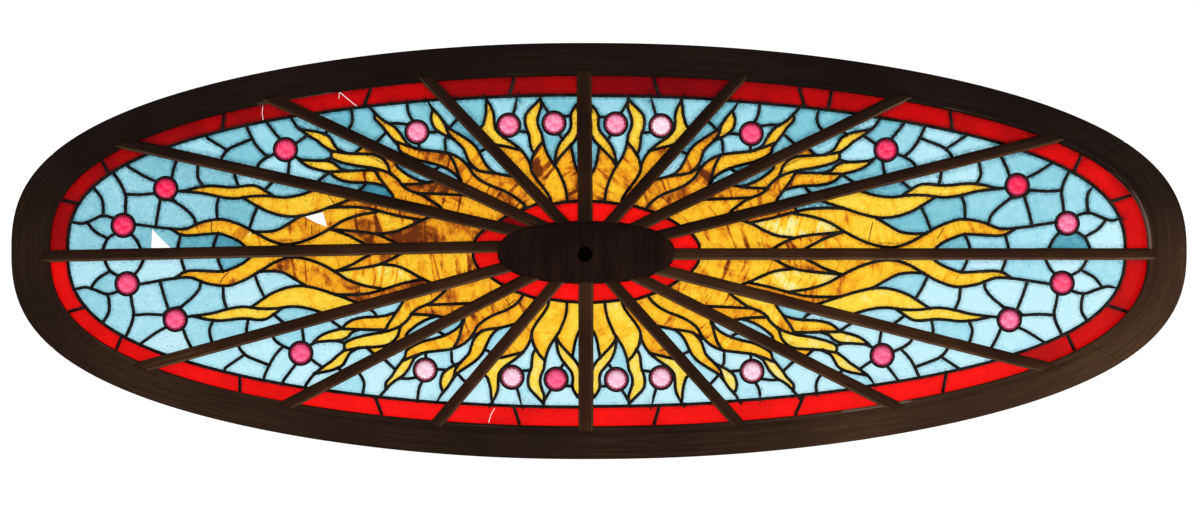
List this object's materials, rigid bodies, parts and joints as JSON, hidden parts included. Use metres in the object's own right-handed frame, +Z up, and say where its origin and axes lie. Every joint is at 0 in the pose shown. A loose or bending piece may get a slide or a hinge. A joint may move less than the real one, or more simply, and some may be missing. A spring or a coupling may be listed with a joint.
{
  "type": "stained glass skylight",
  "caption": "Long oval skylight: a dark wooden frame and hub with radiating glazing bars, and leaded glass in a sunburst of amber flames on blue with pink jewels and a red border.",
  "frame": {"origin": "middle of the bottom rail's back face, where the frame is fixed", "axes": "+X along the length, +Z up as it stands, +Y out of the back; the room side faces -Y and looks down when it lies in a ceiling"},
  "size_m": [2.347, 0.058, 0.8315],
  "materials": {
    "frame_oak": "dark stained, worn at the edges",
    "bar_oak": "dark stained",
    "glass": "rolled cathedral and streaky glass",
    "lead": "dull oxidised lead with solder at the joints"
  },
  "bodies": {
    "root": {"frame_top": "frame_oak", "frame_bottom": "frame_oak", "frame_left": "frame_oak", "frame_right": "frame_oak", "hub": "frame_oak", "bar_01": "bar_oak", "bar_02": "bar_oak", "bar_03": "bar_oak", "bar_04": "bar_oak", "bar_05": "bar_oak", "bar_06": "bar_oak", "bar_07": "bar_oak", "bar_08": "bar_oak", "bar_09": "bar_oak", "bar_10": "bar_oak", "bar_11": "bar_oak", "bar_12": "bar_oak", "bar_13": "bar_oak", "bar_14": "bar_oak", "bar_15": "bar_oak", "bar_16": "bar_oak", "glass_01": "glass", "glass_02": "glass", "glass_03": "glass", "glass_04": "glass", "glass_05": "glass", "glass_06": "glass", "glass_07": "glass", "glass_08": "glass", "glass_09": "glass", "glass_10": "glass", "glass_11": "glass", "glass_12": "glass", "glass_13": "glass", "glass_14": "glass", "glass_15": "glass", "glass_16": "glass", "lead_01": "lead", "lead_02": "lead", "lead_03": "lead", "lead_04": "lead", "lead_05": "lead", "lead_06": "lead", "lead_07": "lead", "lead_08": "lead", "lead_09": "lead", "lead_10": "lead", "lead_11": "lead", "lead_12": "lead", "lead_13": "lead", "lead_14": "lead", "lead_15": "lead", "lead_16": "lead"}
  },
  "joints": []
}
